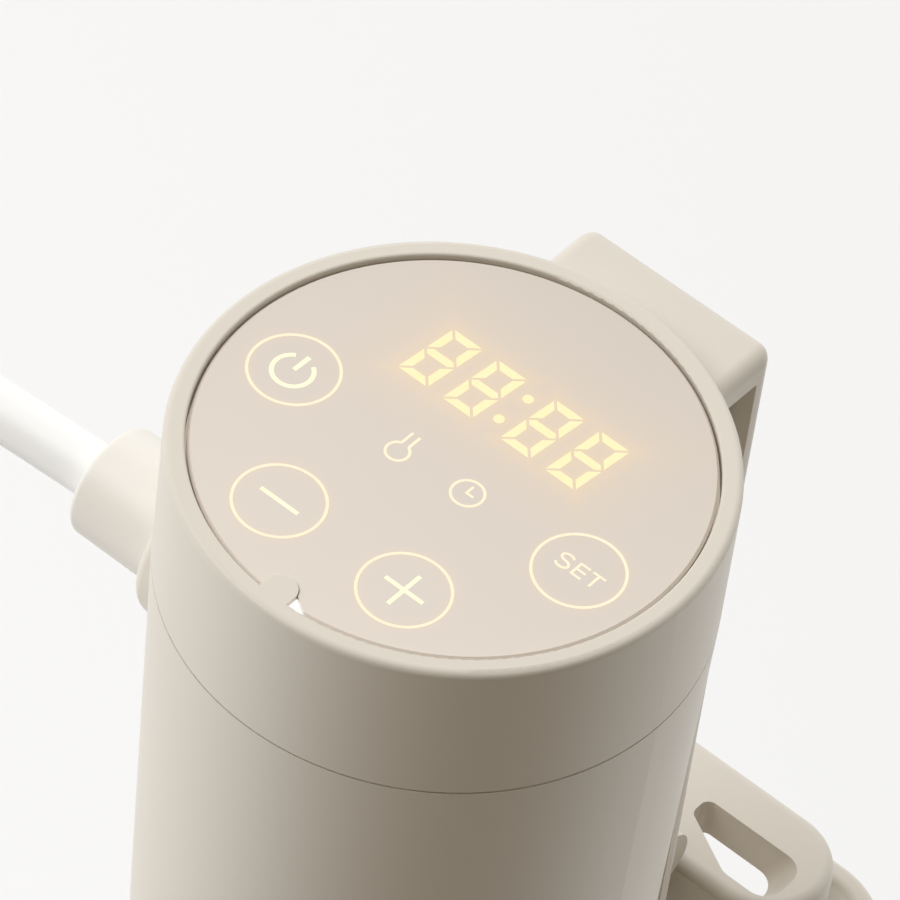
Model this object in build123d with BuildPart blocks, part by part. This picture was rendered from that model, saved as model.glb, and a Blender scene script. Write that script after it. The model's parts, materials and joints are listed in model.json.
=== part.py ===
"""Sous vide circulator: a touch-panel head on a slim tapered body, with a pot clip,
a twist-off steel sleeve over the heater and impeller, and a mains lead.

Millimetres. The origin is on the body's axis, on the plane that the foot stands on.
+Z is up, +X runs along the panel's lettering, +Y points to the pot clip,
and the mains lead leaves towards -X.
"""

import os
from math import cos, degrees, pi, radians, sin, tan

from build123d import *

os.makedirs("parts", exist_ok=True)


def on_circle(radius, angle):
    """Point on a circle round the body's axis, angle in degrees from +X."""
    return (radius * cos(radians(angle)), radius * sin(radians(angle)))


# ---- driving dimensions -------------------------------------------------------------
TOP_Z = 310.0  # top of the head's rim
HEAD_R = 31.0  # outside of the head ring
SEAM_Z = 290.8  # where the head ring meets the body
SEAM_GAP = 0.3
TAPER = 0.0226  # the body's radius falls by this much per millimetre below the seam
BODY_Z = 148.0  # bottom edge of the moulded body
BODY_WALL = 2.2

RIM_R = 28.65  # inside of the rim, round the glass
LEDGE_R = 26.6
LEDGE_Z = 306.5
GLASS_R = 28.4
GLASS_Z = (307.3, 309.6)
TAB_R = 1.87  # round tab of the rim that fills the notch in the glass
TAB_AT = (-0.45, -27.35)
TAB_TOP = 309.8
TAB_GAP = 0.1
WEDGE = ((1.55, -26.95), (3.2, -28.1), (1.55, -28.4))  # light window beside the tab
KEY_RING_R = 20.2  # touch keys stand on this circle
KEY_ANGLES = (188.9, 244.5, 295.5, 351.1)
DISPLAY_AT = (0.8, 9.0)

CORD_D = 6.9
BOSS_Z = 268.3
BOSS_R = 7.05
BOSS_X = -46.3  # outer end of the cord boss
FLANGE_R = 9.6

CLIP_HALF = 13.3  # half the width of the clip's plate
CLIP_Y = (36.4, 39.05)  # inner and outer face of the clip's plate
CLIP_TOP_Z = 306.6
CLIP_TOP_T = 3.8
CLIP_LOW_Z = 182.0
SADDLE_HALF = 9.5
SADDLE_Z = 293.0  # lower edge of the clip's foot on the head ring
WINDOW_HALF = 6.6
PIN_Y, PIN_Z = 42.7, 210.0  # axis of the clip lever, along X
PIN_R = 1.5
EAR_R = 3.9
EAR_X = (6.9, 9.4)
PIN_X = (-9.42, 8.5)  # the pin goes in from -X and stops inside the far ear
LEVER_Z = (199.0, 205.0)
LEVER_HALF = 23.5
LEVER_Y = (47.3, 64.0)
FINGER_TOP = ((4.6, 57.4), (4.6, 54.4), (13.2, 49.8), (20.3, 49.8), (20.3, 57.4))
FINGER_LOW = ((4.6, 57.4), (4.6, 54.4), (12.4, 50.4), (16.2, 50.4), (16.2, 57.4))
FINGER_END_R, FINGER_START_R = 2.8, 1.3
APRON_Z = 194.5  # lower edge of the sloped apron under the lever's near edge
APRON_Y = 44.9
APRON_T = 2.4
APRON_HALF = 19.0
REST_Z = (185.3, 190.8)  # fixed finger rest below the lever
REST_HALF = 29.0
REST_Y = (46.0, 71.5)
REST_LOOP = (50.0, 15.8)  # the finger rest's opening, along X and Y
REST_LOOP_Y = 60.4
JAW_Y = 32.2
JAW_Z = (225.0, 237.0)
PAD_T = 2.25

SLEEVE_R = 27.1
SLEEVE_T = 0.6
SLEEVE_Z = (5.0, 147.6)
FOOT_R = 27.6
NECK_R = 26.2
NECK_Z = 139.0
BAYONET_Z = 143.0
BAYONET_R = 1.2
TWIST = 20.0  # degrees that the sleeve turns to unlock
SLOT_W = 2.6  # width of every water slot
SPIGOT_R = 28.45  # the body's neck inside the head ring
SPIGOT_Z = 294.6
BOARD_Z = 299.6
BOARD_R = 26.2
BOARD_T = 1.6
SCREW_R = 1.3
SCREW_HEAD_R = 2.4
CLIP_SCREW_X, CLIP_SCREW_Z = 7.0, 298.2
REST_SCREW_X, REST_SCREW_Z = 8.0, 188.0
KNUCKLE_R = 3.6
KNUCKLE_HALF = 4.4
FLANGE_PROUD = 3.7
SHAFT_R = 2.0
RUNNING = 0.05  # radial running clearance of a shaft in its bush

MOTOR_Z = (182.0, 226.0)
MOTOR_R = 14.0
HAIRPIN_R = 17.5  # the heater hairpins stand on this circle
HAIRPIN_HALF = 8.0
ROD_R = 2.4
IMPELLER_Z = 28.0

MOTOR_SHAFT_R = 1.6
MOTOR_SCREW_X = 8.5
SHELF_Z = 228.0
CHASSIS_TOP = 288.0
POWER_Y = -1.5  # offset of the power board's plane
BULKHEAD_TOP = 156.0
SEAL_Z = 150.0
SHAFT_SEAL_R = 5.0
COUPLING_Z = (160.0, 176.5)
HAIRPIN_TURNS = (0, 120, 240)
HEATER_TOP = 163.0
BEND_Z = 78.0
PROBE_R = 2.0
PROBE_AT = on_circle(12.0, 90)
ELECTRODE_R = 1.2
ELECTRODES_AT = (on_circle(12.0, -20), on_circle(12.0, -100))
STANDOFF_AT = 21.0
SPIDER_Z = 56.0
SPIDER_R = 25.9
BUSH_R = 5.0
HUB_R = 4.6
IMPELLER_R = 15.5
BLADES = 5
COIL_AT = (-104.0, 15.0)
COIL_MID_R = 39.45  # between the inner and the outer turns
COIL_TURNS = 4.25
PLUG_X = -64.0  # where the lead enters the plug's neck
PLUG_Y = 60.6
PLUG_H = 17.0
PLUG_Z = PLUG_H / 2
PLUG_W = 19.0
PLUG_LONG = 24.0
NECK_LONG = 13.0
BLADE_PITCH = 12.7
BLADE_T = 1.5
BLADE_W = 6.3
BLADE_LONG = 17.0


def body_radius(z):
    """Outside radius of the tapered body at height z."""
    return HEAD_R - TAPER * (SEAM_Z - z)


def save(piece, name):
    """Labels a finished piece and writes it as one STEP file."""
    piece.part.label = name
    export_step(piece.part, f"parts/{name}.step")


def ring_profile(r_in, r_out, z_low, z_high):
    """Rectangle in the X-Z plane to be revolved into a plain ring."""
    with Locations(((r_in + r_out) / 2, (z_low + z_high) / 2)):
        Rectangle(r_out - r_in, z_high - z_low)


# ---- head ---------------------------------------------------------------------------
with BuildPart() as head_ring:
    with BuildSketch(Plane.XZ):
        with BuildLine():
            Polyline(
                (LEDGE_R, LEDGE_Z - 1.6),
                (LEDGE_R, LEDGE_Z),
                (RIM_R, LEDGE_Z),
                (RIM_R, TOP_Z),
                (HEAD_R, TOP_Z),
                (HEAD_R, SEAM_Z),
                (RIM_R, SEAM_Z),
                (RIM_R, LEDGE_Z - 3.6),
                (LEDGE_R, LEDGE_Z - 1.6),
            )
        make_face()
    revolve(axis=Axis.Z)
    rim = head_ring.edges().filter_by(GeomType.CIRCLE).group_by(Axis.Z)[-1]
    fillet(rim.sort_by(SortBy.RADIUS)[-1], 0.85)
    rim = head_ring.edges().filter_by(GeomType.CIRCLE).group_by(Axis.Z)[-1]
    fillet(rim.sort_by(SortBy.RADIUS)[0], 0.3)
    with BuildSketch(Plane.XY.offset(GLASS_Z[0] + 0.05)):
        with Locations(TAB_AT):
            Circle(TAB_R)
        with Locations((TAB_AT[0], TAB_AT[1] - 1)):
            Rectangle(2 * TAB_R, 2)
    extrude(amount=TAB_TOP - GLASS_Z[0] - 0.05)
    with BuildSketch(Plane.XZ):
        with Locations((CLIP_SCREW_X, CLIP_SCREW_Z), (-CLIP_SCREW_X, CLIP_SCREW_Z)):
            Circle(SCREW_R + 0.05)
    extrude(amount=-HEAD_R - 1, mode=Mode.SUBTRACT)
save(head_ring, "head_ring")

with BuildPart() as touch_glass:
    with BuildSketch(Plane.XY.offset(GLASS_Z[0])):
        Circle(GLASS_R)
    extrude(amount=GLASS_Z[1] - GLASS_Z[0])
    chamfer(touch_glass.edges().group_by(Axis.Z)[-1], 0.3)
    inner, tip, _ = WEDGE
    with BuildSketch(Plane.XY.offset(GLASS_Z[0])):
        with Locations(TAB_AT):
            Circle(TAB_R + TAB_GAP)
        with Locations((TAB_AT[0], TAB_AT[1] - 2)):
            Rectangle(2 * (TAB_R + TAB_GAP), 4)
        with BuildLine():
            Polyline(
                (inner[0] - 0.2, inner[1] + 0.25),
                (tip[0] + 0.3, tip[1]),
                (tip[0] + 0.3, tip[1] - 2),
                (inner[0] - 0.2, tip[1] - 2),
                (inner[0] - 0.2, inner[1] + 0.25),
            )
        make_face()
    extrude(amount=GLASS_Z[1] - GLASS_Z[0], mode=Mode.SUBTRACT)
save(touch_glass, "touch_glass")

with BuildPart() as light_guide:
    with BuildSketch(Plane.XY.offset(LEDGE_Z + 0.05)):
        Circle(RIM_R - 0.4)
    extrude(amount=0.7)
    with BuildSketch(Plane.XY.offset(LEDGE_Z + 0.05)):
        with BuildLine():
            Polyline(*WEDGE, WEDGE[0])
        make_face()
    extrude(amount=GLASS_Z[1] - 0.15 - LEDGE_Z - 0.05)
save(light_guide, "light_guide")

with BuildPart() as touch_board:
    with BuildSketch(Plane.XY.offset(BOARD_Z)):
        Circle(BOARD_R)
        with Locations((CLIP_SCREW_X, BOARD_R), (-CLIP_SCREW_X, BOARD_R)):
            Rectangle(7, 6, mode=Mode.SUBTRACT)
    extrude(amount=BOARD_T)
save(touch_board, "touch_board")

board_top = BOARD_Z + BOARD_T
with BuildPart() as display_module:
    with BuildSketch(Plane.XY.offset(board_top)):
        with Locations(DISPLAY_AT):
            RectangleRounded(30, 12.4, 0.8)
    extrude(amount=5.0)
save(display_module, "display_module")

with BuildPart() as touch_springs:
    with BuildSketch(Plane.XY.offset(board_top)):
        with Locations(*[on_circle(KEY_RING_R, angle) for angle in KEY_ANGLES]):
            Circle(3.2)
            Circle(2.2, mode=Mode.SUBTRACT)
    extrude(amount=5.2)
save(touch_springs, "touch_springs")

with BuildPart() as buzzer:
    with BuildSketch(Plane.XY.offset(BOARD_Z - 4.2)):
        with Locations((0, -12)):
            Circle(5.5)
    extrude(amount=4.2)
    with BuildSketch(Plane.XY.offset(BOARD_Z - 4.2)):
        with Locations((0, -12)):
            Circle(0.9)
    extrude(amount=1.2, mode=Mode.SUBTRACT)
save(buzzer, "buzzer")

with BuildPart() as head_gasket:
    with BuildSketch(Plane.XZ):
        ring_profile(RIM_R + 0.02, HEAD_R - 0.45, SEAM_Z - SEAM_GAP, SEAM_Z)
    revolve(axis=Axis.Z)
save(head_gasket, "head_gasket")

# ---- body shell ---------------------------------------------------------------------
body_top = SEAM_Z - SEAM_GAP
inner_top_r = SPIGOT_R - 2
with BuildPart() as main_body:
    with BuildSketch(Plane.XZ):
        with BuildLine():
            Polyline(
                (body_radius(BODY_Z), BODY_Z),
                (body_radius(body_top), body_top),
                (SPIGOT_R, body_top),
                (SPIGOT_R, SPIGOT_Z),
                (inner_top_r, SPIGOT_Z),
                (inner_top_r, body_top - 6),
                (body_radius(BODY_Z) - BODY_WALL, BODY_Z),
                (body_radius(BODY_Z), BODY_Z),
            )
        make_face()
    revolve(axis=Axis.Z)
    foot_edge = main_body.edges().filter_by(GeomType.CIRCLE).group_by(Axis.Z)[0]
    fillet(foot_edge.sort_by(SortBy.RADIUS)[-1], 0.6)
    with BuildSketch(Plane.YZ):
        with Locations((0, BOSS_Z)):
            Circle(FLANGE_R + 0.02)
    extrude(amount=-HEAD_R - 2, mode=Mode.SUBTRACT)
save(main_body, "main_body")

# ---- cord boss ----------------------------------------------------------------------
FLANGE_X = -(body_radius(BOSS_Z) + FLANGE_PROUD)
with BuildPart() as boss_flange:
    with BuildSketch(Plane.YZ.offset(FLANGE_X)):
        with Locations((0, BOSS_Z)):
            Circle(FLANGE_R)
            Circle(BOSS_R, mode=Mode.SUBTRACT)
    extrude(amount=-FLANGE_X - 25.2)
    outer = boss_flange.faces().sort_by(Axis.X)[0].edges().sort_by(SortBy.RADIUS)[-1]
    fillet(outer, 1.3)
save(boss_flange, "boss_flange")

with BuildPart() as cord_boss:
    with BuildSketch(Plane.YZ.offset(BOSS_X)):
        with Locations((0, BOSS_Z)):
            Circle(BOSS_R - 0.02)
            Circle(CORD_D / 2, mode=Mode.SUBTRACT)
    extrude(amount=-BOSS_X - 23.5)
    outer = cord_boss.faces().sort_by(Axis.X)[0].edges().sort_by(SortBy.RADIUS)[-1]
    fillet(outer, 0.9)
save(cord_boss, "cord_boss")

# ---- pot clip -----------------------------------------------------------------------
with BuildPart() as clip_bracket:
    with BuildSketch(Plane.YZ):
        with BuildLine():
            Polyline(
                (26.0, CLIP_TOP_Z),
                (CLIP_Y[1], CLIP_TOP_Z),
                (CLIP_Y[1], CLIP_LOW_Z),
                (CLIP_Y[0], CLIP_LOW_Z),
                (CLIP_Y[0], CLIP_TOP_Z - CLIP_TOP_T),
                (33.3, CLIP_TOP_Z - CLIP_TOP_T),
                (33.3, SADDLE_Z),
                (26.0, SADDLE_Z),
                (26.0, CLIP_TOP_Z),
            )
        make_face()
    extrude(amount=CLIP_HALF, both=True)
    long_edges = clip_bracket.edges().filter_by(Axis.X)
    top_outer = long_edges.group_by(Axis.Z)[-1].sort_by(Axis.Y)[-1]
    fillet(top_outer, 1.3)
    inner_corner = clip_bracket.edges().filter_by(Axis.X).filter_by_position(
        Axis.Y, CLIP_Y[0] - 0.1, CLIP_Y[0] + 0.1
    )
    fillet(inner_corner.sort_by(Axis.Z)[-1], 0.4)
    back = clip_bracket.faces().filter_by(Axis.Y).sort_by(Axis.Y)[-1]
    fillet(back.edges().filter_by(Axis.Z), 1.9)
    beside = CLIP_HALF - SADDLE_HALF + 1
    saddle_top = CLIP_TOP_Z - CLIP_TOP_T
    with BuildSketch(Plane.XZ.offset(-CLIP_Y[0] + 0.6)):
        for side in (1, -1):
            with Locations((side * (SADDLE_HALF + beside / 2), (saddle_top + SADDLE_Z - 1) / 2)):
                Rectangle(beside, saddle_top - SADDLE_Z + 1)
    extrude(amount=12, mode=Mode.SUBTRACT)
    with BuildSketch(Plane.XY.offset(SADDLE_Z - 5)):
        Circle(HEAD_R + 0.01)
    extrude(amount=30, mode=Mode.SUBTRACT)
    with BuildSketch(Plane.XZ.offset(-CLIP_Y[0] + 1)):
        with Locations((0, (PIN_Z - 4 + JAW_Z[1] + 6) / 2)):
            RectangleRounded(2 * WINDOW_HALF, JAW_Z[1] + 10 - PIN_Z, 1.5)
    extrude(amount=-6, mode=Mode.SUBTRACT)
    for low, high in (EAR_X, (-EAR_X[1], -EAR_X[0])):
        with BuildSketch(Plane.YZ.offset(low)):
            with Locations((PIN_Y, PIN_Z)):
                Circle(EAR_R)
            with Locations(((PIN_Y + CLIP_Y[1] - 0.6) / 2, PIN_Z)):
                Rectangle(PIN_Y - CLIP_Y[1] + 0.6, 2 * EAR_R)
        extrude(amount=high - low)
    with BuildSketch(Plane.YZ.offset(PIN_X[0] - 1)):
        with Locations((PIN_Y, PIN_Z)):
            Circle(PIN_R + 0.01)
    extrude(amount=PIN_X[1] + 0.02 - PIN_X[0] + 1, mode=Mode.SUBTRACT)
    with BuildSketch(Plane.XZ.offset(-34.5)):
        with Locations((CLIP_SCREW_X, CLIP_SCREW_Z), (-CLIP_SCREW_X, CLIP_SCREW_Z)):
            Circle(SCREW_R + 0.02)
    extrude(amount=12, mode=Mode.SUBTRACT)
    with BuildSketch(Plane.XZ.offset(-CLIP_Y[1] - 1)):
        with Locations((REST_SCREW_X, REST_SCREW_Z), (-REST_SCREW_X, REST_SCREW_Z)):
            Circle(SCREW_R + 0.02)
    extrude(amount=6, mode=Mode.SUBTRACT)
save(clip_bracket, "clip_bracket")

with BuildPart() as finger_rest:
    with BuildSketch(Plane.XY.offset(REST_Z[0])):
        with Locations((0, sum(REST_Y) / 2)):
            RectangleRounded(2 * REST_HALF, REST_Y[1] - REST_Y[0], 11.5)
        with Locations((0, (CLIP_Y[1] + REST_Y[0] + 8) / 2)):
            Rectangle(2 * CLIP_HALF - 1.5, REST_Y[0] + 8 - CLIP_Y[1])
        with Locations((0, REST_LOOP_Y)):
            RectangleRounded(*REST_LOOP, 7.4, mode=Mode.SUBTRACT)
    extrude(amount=REST_Z[1] - REST_Z[0])
    outline = finger_rest.edges().filter_by_position(Axis.Y, CLIP_Y[1] + 3, 80)
    fillet(outline.group_by(Axis.Z)[-1] + outline.group_by(Axis.Z)[0], 1.2)
    with BuildSketch(Plane.XZ.offset(-CLIP_Y[1])):
        with Locations((REST_SCREW_X, REST_SCREW_Z), (-REST_SCREW_X, REST_SCREW_Z)):
            Circle(SCREW_R + 0.02)
    extrude(amount=-5, mode=Mode.SUBTRACT)
save(finger_rest, "finger_rest")

def outward(corner):
    """Sorting key: distance from the middle plane."""
    return abs(corner.X)


def finger_opening(side):
    """Cutter for one of the lever's openings: its right-hand end slopes inwards."""
    with BuildPart() as cutter:
        for z, outline in ((LEVER_Z[0] - 0.5, FINGER_LOW), (LEVER_Z[1] + 0.5, FINGER_TOP)):
            with BuildSketch(Plane.XY.offset(z)) as opening:
                with BuildLine():
                    Polyline(*[(side * x, y) for x, y in outline], close=True)
                make_face()
                fillet(opening.vertices().sort_by(outward)[2:], FINGER_END_R)
                fillet(opening.vertices().sort_by(outward)[:2], FINGER_START_R)
        loft()
    return cutter.part


with BuildPart() as clip_lever:
    with BuildSketch(Plane.XY.offset(LEVER_Z[0])):
        with Locations((0, sum(LEVER_Y) / 2)):
            RectangleRounded(2 * LEVER_HALF, LEVER_Y[1] - LEVER_Y[0], 8.3)
    extrude(amount=LEVER_Z[1] - LEVER_Z[0])
    for face in clip_lever.faces().filter_by(Plane.XY):
        fillet(face.outer_wire().edges(), 1.6)
    for side in (1, -1):
        add(finger_opening(side), mode=Mode.SUBTRACT)
    with BuildSketch(Plane.YZ):
        with BuildLine():
            Polyline(
                (LEVER_Y[0] + 0.3, LEVER_Z[1] - 1.0),
                (APRON_Y, APRON_Z + 1.5),
                (APRON_Y + 0.8, APRON_Z),
                (APRON_Y + APRON_T, APRON_Z),
                (LEVER_Y[0] + APRON_T, LEVER_Z[0] + 1.0),
                (LEVER_Y[0] + 0.3, LEVER_Z[1] - 1.0),
            )
        make_face()
    extrude(amount=APRON_HALF, both=True)
    with BuildSketch(Plane.YZ):
        with BuildLine():
            Polyline(
                (PIN_Y - 3.0, PIN_Z + 2.0),
                (JAW_Y + 3.2, JAW_Z[0] - 1.5),
                (JAW_Y, JAW_Z[0]),
                (JAW_Y, JAW_Z[1]),
                (JAW_Y + 2.4, JAW_Z[1]),
                (JAW_Y + 5.2, JAW_Z[0] + 2.5),
                (PIN_Y + 2.6, PIN_Z + 2.6),
                (PIN_Y + 5.5, LEVER_Z[1] - 0.4),
                (PIN_Y + 5.5, LEVER_Z[0] + 0.9),
                (PIN_Y + 3.0, LEVER_Z[0] + 1.0),
                (PIN_Y - 2.0, PIN_Z - 3.0),
                (PIN_Y - 3.0, PIN_Z + 2.0),
            )
        make_face()
        with Locations((PIN_Y, PIN_Z)):
            Circle(KNUCKLE_R)
    extrude(amount=KNUCKLE_HALF, both=True)
    with BuildSketch(Plane.YZ):
        with Locations((PIN_Y, PIN_Z)):
            Circle(PIN_R + RUNNING)
    extrude(amount=KNUCKLE_HALF + 1, both=True, mode=Mode.SUBTRACT)
save(clip_lever, "clip_lever")

with BuildPart() as jaw_pad:
    with BuildSketch(Plane.XZ.offset(-JAW_Y)):
        with Locations((0, sum(JAW_Z) / 2)):
            RectangleRounded(10, JAW_Z[1] - JAW_Z[0], 2)
    extrude(amount=PAD_T)
    fillet(jaw_pad.faces().sort_by(Axis.Y)[0].edges(), 0.6)
save(jaw_pad, "jaw_pad")

with BuildPart() as clip_pin:
    with BuildSketch(Plane.YZ.offset(PIN_X[0])):
        with Locations((PIN_Y, PIN_Z)):
            Circle(PIN_R)
    extrude(amount=PIN_X[1] - PIN_X[0])
    with BuildSketch(Plane.YZ.offset(PIN_X[0])):
        with Locations((PIN_Y, PIN_Z)):
            Circle(PIN_R + 0.9)
    extrude(amount=-0.9)
save(clip_pin, "clip_pin")

with BuildPart() as clip_spring:
    for side in (1, -1):
        with BuildSketch(Plane.YZ.offset(side * (KNUCKLE_HALF + 0.3))):
            with Locations((PIN_Y, PIN_Z)):
                Circle(PIN_R + 1.4)
                Circle(PIN_R + 0.3, mode=Mode.SUBTRACT)
        extrude(amount=side * (EAR_X[0] - KNUCKLE_HALF - 0.5))
save(clip_spring, "clip_spring")

with BuildPart() as clip_screws:
    with BuildSketch(Plane.XZ.offset(-27.1)):
        with Locations((CLIP_SCREW_X, CLIP_SCREW_Z), (-CLIP_SCREW_X, CLIP_SCREW_Z)):
            Circle(SCREW_R)
    extrude(amount=-5.9)
    with BuildSketch(Plane.XZ.offset(-25.3)):
        with Locations((CLIP_SCREW_X, CLIP_SCREW_Z), (-CLIP_SCREW_X, CLIP_SCREW_Z)):
            Circle(SCREW_HEAD_R)
    extrude(amount=-1.8)
save(clip_screws, "clip_screws")

with BuildPart() as rest_screws:
    with BuildSketch(Plane.XZ.offset(-CLIP_Y[0])):
        with Locations((REST_SCREW_X, REST_SCREW_Z), (-REST_SCREW_X, REST_SCREW_Z)):
            Circle(SCREW_R)
    extrude(amount=-6.5)
    with BuildSketch(Plane.XZ.offset(-CLIP_Y[0])):
        with Locations((REST_SCREW_X, REST_SCREW_Z), (-REST_SCREW_X, REST_SCREW_Z)):
            Circle(SCREW_HEAD_R)
    extrude(amount=1.1)
save(rest_screws, "rest_screws")

# ---- dry side: chassis, boards and motor --------------------------------------------
with BuildPart() as chassis:
    for low, high, r_in, r_out in (
        (BULKHEAD_TOP + 0.05, BULKHEAD_TOP + 3.0, 22.0, 25.0),
        (MOTOR_Z[0] - 3.0, MOTOR_Z[0], 6.4, 24.4),
        (SHELF_Z, SHELF_Z + 2.0, 6.0, 24.4),
        (CHASSIS_TOP - 2.0, CHASSIS_TOP, 18.0, 24.4),
    ):
        with BuildSketch(Plane.XY.offset(low)):
            Circle(r_out)
            Circle(r_in, mode=Mode.SUBTRACT)
        extrude(amount=high - low)
    with BuildSketch(Plane.XY.offset(BULKHEAD_TOP + 0.05)):
        with Locations((0, 23.2), (0, -23.2)):
            Rectangle(10, 2.4)
    extrude(amount=CHASSIS_TOP - BULKHEAD_TOP - 0.05)
    with BuildSketch(Plane.XY.offset(CHASSIS_TOP)):
        with Locations(*[on_circle(21.5, angle) for angle in (30, 150, 270)]):
            Circle(2)
    extrude(amount=BOARD_Z - CHASSIS_TOP)
    with BuildSketch(Plane.XY.offset(MOTOR_Z[0] - 4)):
        with Locations((MOTOR_SCREW_X, 0), (-MOTOR_SCREW_X, 0)):
            Circle(SCREW_R + 0.02)
    extrude(amount=5, mode=Mode.SUBTRACT)
save(chassis, "chassis")

with BuildPart() as motor_can:
    with BuildSketch(Plane.XZ):
        with BuildLine():
            Polyline(
                (MOTOR_SHAFT_R + RUNNING, MOTOR_Z[0]),
                (MOTOR_R, MOTOR_Z[0]),
                (MOTOR_R, MOTOR_Z[1]),
                (0, MOTOR_Z[1]),
                (0, MOTOR_Z[1] - 3),
                (MOTOR_SHAFT_R + RUNNING, MOTOR_Z[1] - 3),
                (MOTOR_SHAFT_R + RUNNING, MOTOR_Z[1] - 7),
                (MOTOR_R - 1.4, MOTOR_Z[1] - 7),
                (MOTOR_R - 1.4, MOTOR_Z[0] + 2.5),
                (MOTOR_SHAFT_R + RUNNING, MOTOR_Z[0] + 2.5),
                (MOTOR_SHAFT_R + RUNNING, MOTOR_Z[0]),
            )
        make_face()
    revolve(axis=Axis.Z)
    fillet(motor_can.edges().group_by(Axis.Z)[-1], 1.5)
    with BuildSketch(Plane.XY.offset(MOTOR_Z[0])):
        with Locations((MOTOR_SCREW_X, 0), (-MOTOR_SCREW_X, 0)):
            Circle(SCREW_R + 0.02)
    extrude(amount=2.5, mode=Mode.SUBTRACT)
save(motor_can, "motor_can")

with BuildPart() as motor_magnets:
    with BuildSketch(Plane.XY.offset(MOTOR_Z[0] + 7)):
        Circle(MOTOR_R - 1.45)
        Circle(MOTOR_R - 3.1, mode=Mode.SUBTRACT)
        Rectangle(7, 2 * MOTOR_R, mode=Mode.SUBTRACT)
    extrude(amount=27)
save(motor_magnets, "motor_magnets")

with BuildPart() as motor_rotor:
    with BuildSketch(Plane.XY.offset(COUPLING_Z[1] - 8)):
        Circle(MOTOR_SHAFT_R)
    extrude(amount=MOTOR_Z[1] - 3.2 - COUPLING_Z[1] + 8)
    with BuildSketch(Plane.XY.offset(MOTOR_Z[0] + 8)):
        Circle(MOTOR_R - 3.6)
        with PolarLocations(MOTOR_R - 4.6, 5):
            Rectangle(3, 1.6, mode=Mode.SUBTRACT)
    extrude(amount=25)
save(motor_rotor, "motor_rotor")

with BuildPart() as motor_screws:
    with BuildSketch(Plane.XY.offset(MOTOR_Z[0] - 3)):
        with Locations((MOTOR_SCREW_X, 0), (-MOTOR_SCREW_X, 0)):
            Circle(SCREW_R)
    extrude(amount=5.2)
    with BuildSketch(Plane.XY.offset(MOTOR_Z[0] - 3)):
        with Locations((MOTOR_SCREW_X, 0), (-MOTOR_SCREW_X, 0)):
            Circle(SCREW_HEAD_R)
    extrude(amount=-1.6)
save(motor_screws, "motor_screws")

board_low = SHELF_Z + 2.1
with BuildPart() as power_board:
    with BuildSketch(Plane.XZ.offset(POWER_Y)):
        with Locations((0, (board_low + CHASSIS_TOP - 3) / 2)):
            Rectangle(38, CHASSIS_TOP - 3 - board_low)
    extrude(amount=1.6)
save(power_board, "power_board")

board_front = -POWER_Y  # the board's +Y face
with BuildPart() as transformer:
    with BuildSketch(Plane.XZ.offset(-board_front - 0.02)):
        with Locations((-6, 243)):
            RectangleRounded(18, 17, 1.5)
    extrude(amount=-14)
save(transformer, "transformer")

with BuildPart() as capacitors:
    for x, z, r, length in ((10.5, 241, 5.4, 15), (10.5, 254, 4.2, 12)):
        with BuildSketch(Plane.XZ.offset(-board_front - 0.02)):
            with Locations((x, z)):
                Circle(r)
        extrude(amount=-length)
    fillet(capacitors.faces().filter_by(Axis.Y).group_by(Axis.Y)[-1].edges(), 0.8)
save(capacitors, "capacitors")

with BuildPart() as heat_sink:
    with BuildSketch(Plane.XY.offset(236)):
        with Locations((0, -board_front - 4.4)):
            Rectangle(26, 2.4)
        with GridLocations(4.6, 1, 6, 1):
            with Locations((0, -board_front - 10)):
                Rectangle(1.2, 9)
    extrude(amount=32)
save(heat_sink, "heat_sink")

with BuildPart() as triac:
    with BuildSketch(Plane.XZ.offset(-board_front + 1.65)):
        with Locations((3, 274)):
            Rectangle(10, 9)
    extrude(amount=3.6)
save(triac, "triac")

with BuildPart() as terminal_block:
    with BuildSketch(Plane.XZ.offset(-board_front - 0.02)):
        with Locations((-10, 268)):
            Rectangle(14, 8)
    extrude(amount=-9)
    with BuildSketch(Plane.XY.offset(272)):
        with Locations((-14, board_front + 5), (-6, board_front + 5)):
            Circle(1.6)
    extrude(amount=-3, mode=Mode.SUBTRACT)
save(terminal_block, "terminal_block")

# ---- bulkhead between the dry and the wet side ---------------------------------------
hairpin_legs = [
    (
        HAIRPIN_R * cos(radians(turn)) - side * HAIRPIN_HALF * sin(radians(turn)),
        HAIRPIN_R * sin(radians(turn)) + side * HAIRPIN_HALF * cos(radians(turn)),
    )
    for turn in HAIRPIN_TURNS
    for side in (-1, 1)
]
bulkhead_r = body_radius(BODY_Z) - BODY_WALL - 0.1
with BuildPart() as bulkhead:
    with BuildSketch(Plane.XY.offset(NECK_Z)):
        Circle(NECK_R)
    extrude(amount=BODY_Z - 0.1 - NECK_Z)
    with BuildSketch(Plane.XY.offset(BODY_Z - 0.1)):
        Circle(bulkhead_r)
    extrude(amount=BULKHEAD_TOP - BODY_Z + 0.1)
    with BuildSketch(Plane.XZ):
        ring_profile(bulkhead_r - 1.2, bulkhead_r + 1, SEAL_Z, SEAL_Z + 2.2)
    revolve(axis=Axis.Z, mode=Mode.SUBTRACT)
    with BuildSketch(Plane.XY.offset(NECK_Z - 1)):
        Circle(SHAFT_R + 0.4)
        with Locations(*hairpin_legs):
            Circle(ROD_R + 0.02)
        with Locations(PROBE_AT):
            Circle(PROBE_R + 0.02)
        with Locations(*ELECTRODES_AT):
            Circle(ELECTRODE_R + 0.02)
    extrude(amount=40, mode=Mode.SUBTRACT)
    with BuildSketch(Plane.XY.offset(BULKHEAD_TOP - 5)):
        Circle(SHAFT_SEAL_R + 0.02)
    extrude(amount=6, mode=Mode.SUBTRACT)
    with PolarLocations(NECK_R - 1.5, 3):
        with Locations((0, 0, BAYONET_Z)):
            Cylinder(BAYONET_R, 2 * 2.5, rotation=(0, 90, 0))
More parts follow.
